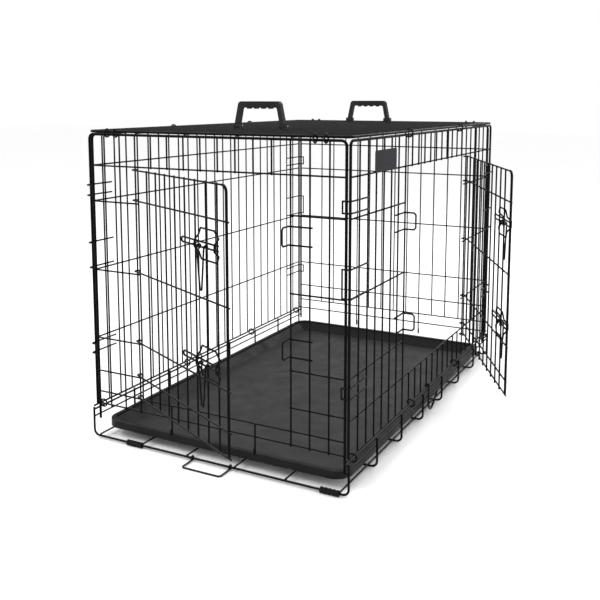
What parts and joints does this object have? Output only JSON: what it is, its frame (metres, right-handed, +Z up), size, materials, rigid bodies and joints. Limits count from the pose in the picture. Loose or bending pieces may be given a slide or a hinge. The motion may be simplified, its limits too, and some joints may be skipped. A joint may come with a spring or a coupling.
{
  "type": "wire dog crate",
  "caption": "Folding wire crate with a front door, a side door, slide bolts, a pull-out tray and carrying handles.",
  "frame": {"origin": "on the ground under the middle of the crate's footprint", "axes": "+Z up; the front door's end faces -Y, the side door is on +X, and Y runs along the crate"},
  "size_m": [0.7957, 1.0901, 0.705],
  "materials": {
    "black_wire": "satin black powder coat",
    "latch_wire": "black electrophoretic coat, rubbed at the contacts",
    "pin_steel": "plain zinc-plated pin",
    "handle_plastic": "fine moulded grain",
    "tray_plastic": "moulded, lightly grained",
    "plate_plastic": "blank, fine satin",
    "foot_rubber": "matt"
  },
  "bodies": {
    "cage": {"bottom_panel": "black_wire", "bottom_hinge_rings": "black_wire", "front_panel": "black_wire", "left_side_panel": "black_wire", "right_side_panel": "black_wire", "top_panel": "black_wire", "front_top_clips": "latch_wire", "back_top_clips": "latch_wire", "side_top_clips": "latch_wire", "front_corner_clips": "latch_wire", "back_corner_clips": "latch_wire", "front_keepers": "latch_wire", "side_keepers": "latch_wire", "front_handle_clips": "handle_plastic", "rear_handle_clips": "handle_plastic", "front_handle_pins": "pin_steel", "rear_handle_pins": "pin_steel", "foot_front_left": "foot_rubber", "foot_front_right": "foot_rubber", "foot_back_left": "foot_rubber", "foot_back_right": "foot_rubber", "name_plate": "plate_plastic"},
    "front_door": {"front_door": "black_wire", "front_hinge_loops": "black_wire", "front_latch_guides": "latch_wire"},
    "side_door": {"side_door": "black_wire", "side_hinge_loops": "black_wire", "side_latch_guides": "latch_wire"},
    "tray": {"tray": "tray_plastic"},
    "tray_latch": {"tray_latch": "black_wire"},
    "front_handle": {"front_handle": "handle_plastic"},
    "rear_handle": {"rear_handle": "handle_plastic"},
    "back_panel": {"back_panel": "black_wire"},
    "fold_hook": {"fold_hook": "latch_wire"},
    "front_upper_bolt": {"front_upper_bolt": "latch_wire"},
    "front_upper_lever": {"front_upper_lever": "latch_wire"},
    "front_lower_bolt": {"front_lower_bolt": "latch_wire"},
    "front_lower_lever": {"front_lower_lever": "latch_wire"},
    "side_upper_bolt": {"side_upper_bolt": "latch_wire"},
    "side_upper_lever": {"side_upper_lever": "latch_wire"},
    "side_lower_bolt": {"side_lower_bolt": "latch_wire"},
    "side_lower_lever": {"side_lower_lever": "latch_wire"}
  },
  "joints": [
    {"name": "front_door_hinge", "type": "hinge", "parent": "cage", "child": "front_door", "pos_m": [-0.17402, -0.45595, 0], "axis": [0, 0, -1], "range_deg": [-26.2, 123.8]},
    {"name": "side_door_hinge", "type": "hinge", "parent": "cage", "child": "side_door", "pos_m": [0.29095, 0.2275, 0], "axis": [0, 0, 1], "range_deg": [-27.5, 122.5]},
    {"name": "front_upper_bolt_slide", "type": "slide", "parent": "front_door", "child": "front_upper_bolt", "axis": [0.8973, -0.4415, 0], "range_m": [0, 0.028]},
    {"name": "front_upper_lever_hinge", "type": "hinge", "parent": "front_upper_bolt", "child": "front_upper_lever", "pos_m": [0.07471, -0.58926, 0.4595], "axis": [-0.8973, 0.4415, 0], "range_deg": [0, 110]},
    {"name": "front_lower_bolt_slide", "type": "slide", "parent": "front_door", "child": "front_lower_bolt", "axis": [0.8973, -0.4415, 0], "range_m": [0, 0.028]},
    {"name": "front_lower_lever_hinge", "type": "hinge", "parent": "front_lower_bolt", "child": "front_lower_lever", "pos_m": [0.07471, -0.58926, 0.2515], "axis": [-0.8973, 0.4415, 0], "range_deg": [0, 110]},
    {"name": "side_upper_bolt_slide", "type": "slide", "parent": "side_door", "child": "side_upper_bolt", "axis": [0.4617, -0.887, 0], "range_m": [0, 0.028]},
    {"name": "side_upper_lever_hinge", "type": "hinge", "parent": "side_upper_bolt", "child": "side_upper_lever", "pos_m": [0.46176, -0.07939, 0.4595], "axis": [0.4617, -0.887, 0], "range_deg": [0, 110]},
    {"name": "side_lower_bolt_slide", "type": "slide", "parent": "side_door", "child": "side_lower_bolt", "axis": [0.4617, -0.887, 0], "range_m": [0, 0.028]},
    {"name": "side_lower_lever_hinge", "type": "hinge", "parent": "side_lower_bolt", "child": "side_lower_lever", "pos_m": [0.46176, -0.07939, 0.2515], "axis": [0.4617, -0.887, 0], "range_deg": [0, 110]},
    {"name": "tray_slide", "type": "slide", "parent": "cage", "child": "tray", "axis": [0, -1, 0], "range_m": [0, 0.8]},
    {"name": "tray_latch_hinge", "type": "hinge", "parent": "cage", "child": "tray_latch", "pos_m": [0, -0.462, 0.0059], "axis": [1, 0, 0], "range_deg": [-90, 0]},
    {"name": "front_handle_pivot", "type": "hinge", "parent": "cage", "child": "front_handle", "pos_m": [0, -0.26542, 0.655], "axis": [-1, 0, 0], "range_deg": [-90, 90]},
    {"name": "rear_handle_pivot", "type": "hinge", "parent": "cage", "child": "rear_handle", "pos_m": [0, 0.30333, 0.655], "axis": [-1, 0, 0], "range_deg": [-90, 90]},
    {"name": "back_panel_fold", "type": "hinge", "parent": "cage", "child": "back_panel", "pos_m": [0, 0.455, 0.6391], "axis": [-1, 0, 0], "range_deg": [0, 84]},
    {"name": "fold_hook_hinge", "type": "hinge", "parent": "cage", "child": "fold_hook", "pos_m": [0.29, -0.02992, 0.071], "axis": [0, -1, 0], "range_deg": [0, 90]}
  ]
}
